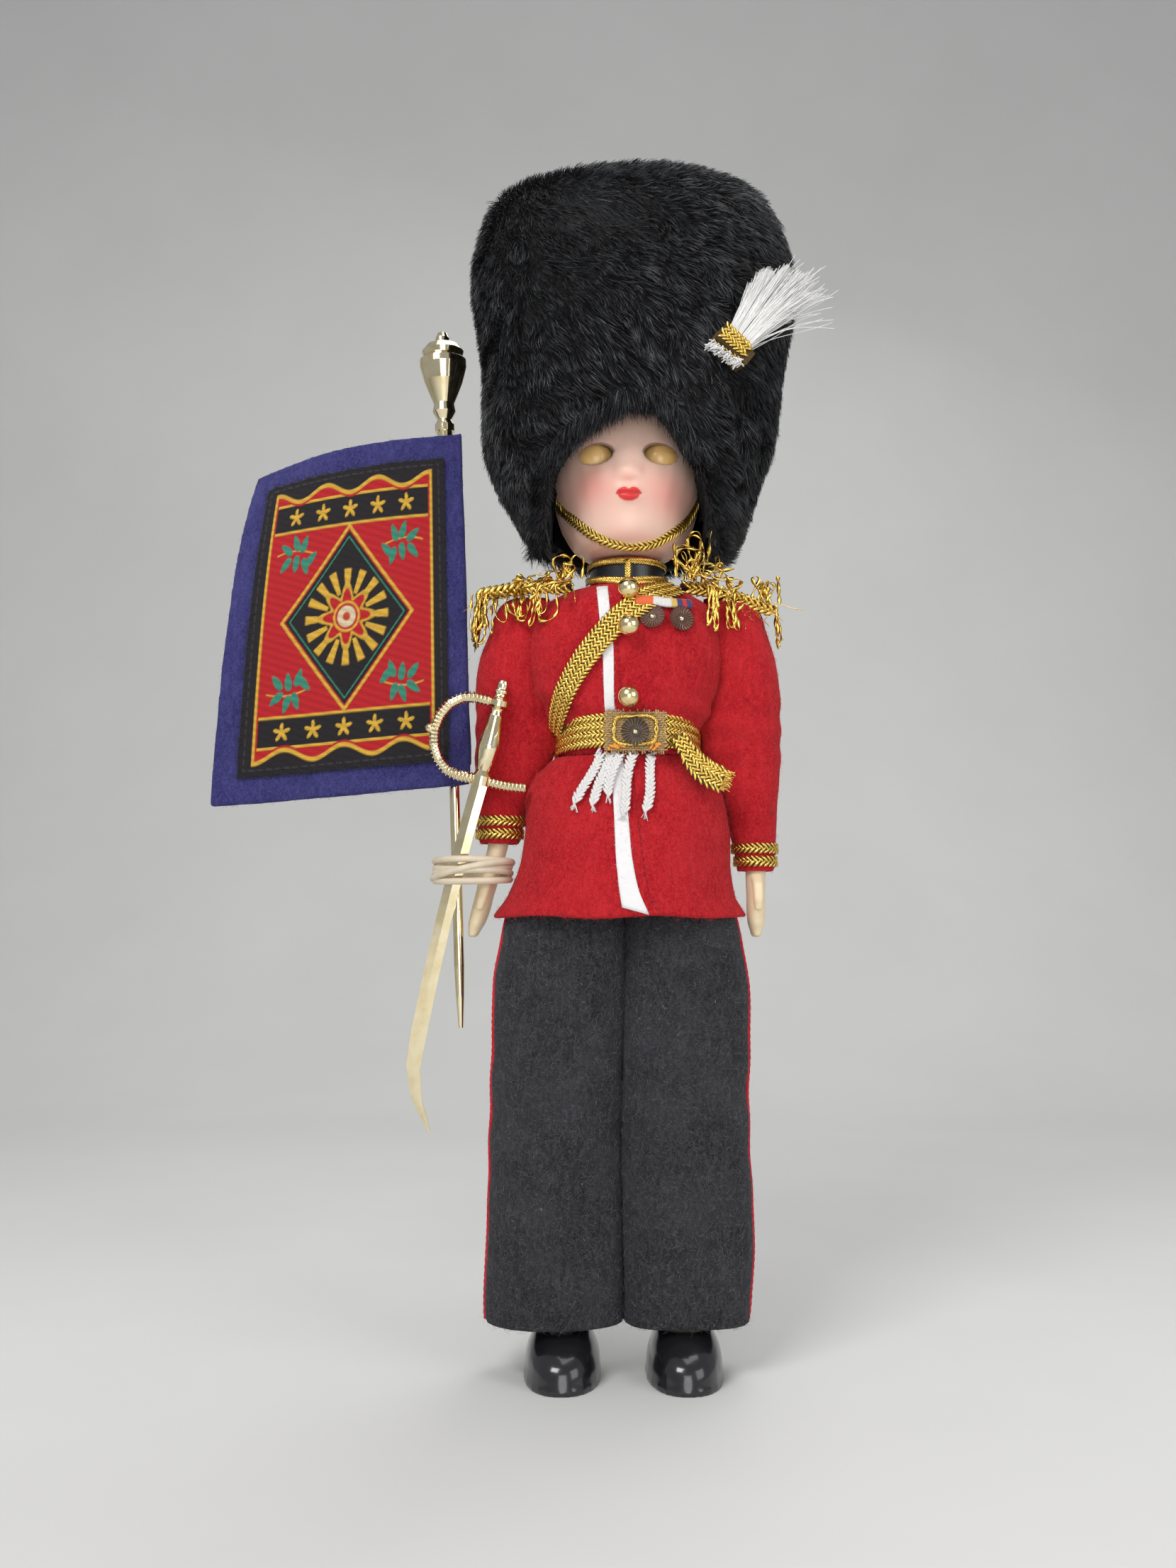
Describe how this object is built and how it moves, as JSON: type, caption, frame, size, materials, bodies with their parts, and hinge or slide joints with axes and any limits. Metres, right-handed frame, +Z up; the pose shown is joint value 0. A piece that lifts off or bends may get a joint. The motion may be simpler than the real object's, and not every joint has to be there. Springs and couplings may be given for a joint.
{
  "type": "toy soldier figure",
  "caption": "Jointed plastic doll dressed as a guardsman in a red felt tunic and tall fur hat, holding a sword and a flag on a pole.",
  "frame": {"origin": "bottom centre of the whole figure's box, on the floor", "axes": "+Z up from shoes to hat, front of the figure along -Y, its right hand with sword and flag at -X"},
  "size_m": [0.1143, 0.0499, 0.2286],
  "materials": {
    "skin_plastic": "satin",
    "face_plastic": "satin",
    "red_felt": "matte",
    "dark_felt": "matte",
    "blue_felt": "matte",
    "woven_patch": "matte",
    "gold_braid": "satin",
    "gold_tinsel": "glossy",
    "gold_bead": "glossy",
    "gold_plate": "glossy",
    "brown_sequin": "glossy",
    "striped_ribbon": "matte",
    "tan_cloth": "matte",
    "black_fur": "matte",
    "grey_wadding": "matte",
    "white_silk": "satin",
    "white_yarn": "matte",
    "white_ribbon": "matte",
    "black_satin": "satin",
    "red_piping": "matte",
    "black_shoe": "glossy",
    "black_elastic": "matte",
    "cream_rubber": "matte",
    "eye_plastic": "satin",
    "eye_weight": "satin"
  },
  "bodies": {
    "torso": {"torso_front": "skin_plastic", "torso_back": "skin_plastic", "arm_cord": "black_elastic", "leg_cord": "black_elastic", "collar": "black_satin", "tunic_body": "red_felt", "tunic_skirt": "red_felt", "front_strip": "white_ribbon", "buttons": "gold_bead", "medal_bar": "striped_ribbon", "medal_sequins": "brown_sequin", "sash": "gold_braid", "belt": "gold_braid", "belt_tail": "gold_braid", "buckle_patch": "tan_cloth", "buckle_cord": "gold_braid", "buckle_sequin": "brown_sequin", "tassels": "white_yarn", "left_board": "gold_braid", "right_board": "gold_braid", "left_fringe": "gold_tinsel", "right_fringe": "gold_tinsel", "trousers_seat": "dark_felt"},
    "head": {"head_front": "face_plastic", "head_back": "face_plastic", "bearskin": "black_fur", "hat_wadding": "grey_wadding", "plume": "white_silk", "plume_band": "gold_braid", "chin_strap": "gold_braid"},
    "eyes": {"left_eye": "eye_plastic", "right_eye": "eye_plastic", "eye_rocker": "eye_weight"},
    "left_arm_body": {"left_arm": "skin_plastic", "left_sleeve": "red_felt", "left_cuff_braid": "gold_braid"},
    "right_arm_body": {"right_arm": "skin_plastic", "right_sleeve": "red_felt", "right_cuff_braid": "gold_braid", "rubber_band": "cream_rubber", "sword": "gold_plate", "flagpole": "gold_plate", "flag_felt": "blue_felt", "flag_patch": "woven_patch", "flag_sleeve": "blue_felt"},
    "left_leg_body": {"left_leg": "skin_plastic", "left_shoe": "black_shoe", "left_trouser": "dark_felt", "left_piping": "red_piping"},
    "right_leg_body": {"right_leg": "skin_plastic", "right_shoe": "black_shoe", "right_trouser": "dark_felt", "right_piping": "red_piping"}
  },
  "joints": [
    {"name": "neck_turn", "type": "hinge", "parent": "torso", "child": "head", "pos_m": [0.02257, 0.00092, 0.152], "axis": [0, 0, 1], "range_deg": [-60, 60]},
    {"name": "eyes_rock", "type": "hinge", "parent": "head", "child": "eyes", "pos_m": [0.02257, -0.00789, 0.1694], "axis": [-1, 0, 0], "range_deg": [0, 70]},
    {"name": "left_shoulder", "type": "hinge", "parent": "torso", "child": "left_arm_body", "pos_m": [0.02257, 0.00092, 0.139], "axis": [-1, 0, 0], "range_deg": [-15, 60], "deforming": ["left_fringe"]},
    {"name": "right_shoulder", "type": "hinge", "parent": "torso", "child": "right_arm_body", "pos_m": [0.02257, 0.00092, 0.139], "axis": [-1, 0, 0], "range_deg": [-15, 60], "deforming": ["right_fringe"]},
    {"name": "left_hip", "type": "hinge", "parent": "torso", "child": "left_leg_body", "pos_m": [0.02257, 0.00092, 0.09], "axis": [-1, 0, 0], "range_deg": [-15, 30], "deforming": ["tunic_skirt", "trousers_seat"]},
    {"name": "right_hip", "type": "hinge", "parent": "torso", "child": "right_leg_body", "pos_m": [0.02257, 0.00092, 0.09], "axis": [-1, 0, 0], "range_deg": [-15, 30]}
  ]
}
